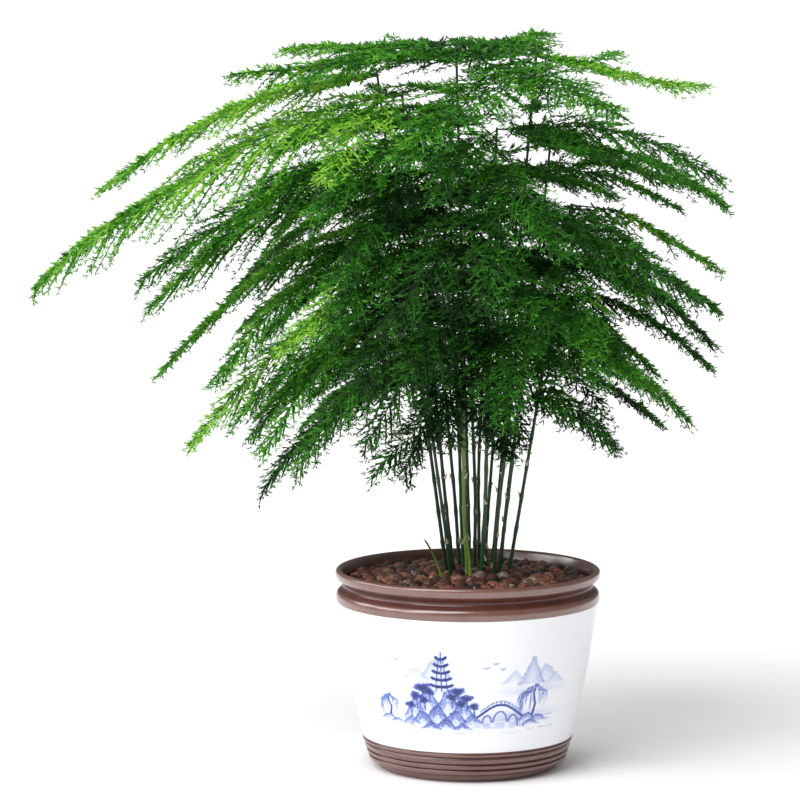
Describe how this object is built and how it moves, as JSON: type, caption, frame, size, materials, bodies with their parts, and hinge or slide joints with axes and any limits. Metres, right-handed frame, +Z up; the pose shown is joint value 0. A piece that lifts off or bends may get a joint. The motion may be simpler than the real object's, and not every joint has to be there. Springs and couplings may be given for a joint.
{
  "type": "potted lace fern",
  "caption": "Lace fern in a glazed ceramic pot: upright wiry canes with layered, flat, feathery green fronds over a bed of clay pebbles.",
  "frame": {"origin": "middle of the pot's flat underside", "axes": "+Z up, along the pot's axis; -Y is the front, the side that carries the painted picture; +X is to the right as seen from the front"},
  "size_m": [0.5317, 0.3754, 0.5559],
  "materials": {
    "pot_glaze": "gloss",
    "potting_soil": "matt, crumbly",
    "fired_clay": "matt",
    "fern_green": "satin",
    "shoot_green": "satin"
  },
  "bodies": {
    "root": {"pot": "pot_glaze", "soil": "potting_soil", "clay_pebbles": "fired_clay", "leafy_cane_01": "fern_green", "leafy_cane_02": "fern_green", "leafy_cane_03": "fern_green", "leafy_cane_04": "fern_green", "leafy_cane_05": "fern_green", "leafy_cane_06": "fern_green", "leafy_cane_07": "fern_green", "leafy_cane_08": "fern_green", "leafy_cane_09": "fern_green", "leafy_cane_10": "fern_green", "leafy_cane_11": "fern_green", "leafy_cane_12": "fern_green", "leafy_cane_13": "fern_green", "leafy_cane_14": "fern_green", "leafy_cane_15": "fern_green", "leafy_cane_16": "fern_green", "leafy_cane_17": "fern_green", "leafy_cane_18": "fern_green", "young_shoot_left": "shoot_green", "young_shoot_front": "shoot_green"}
  },
  "joints": []
}
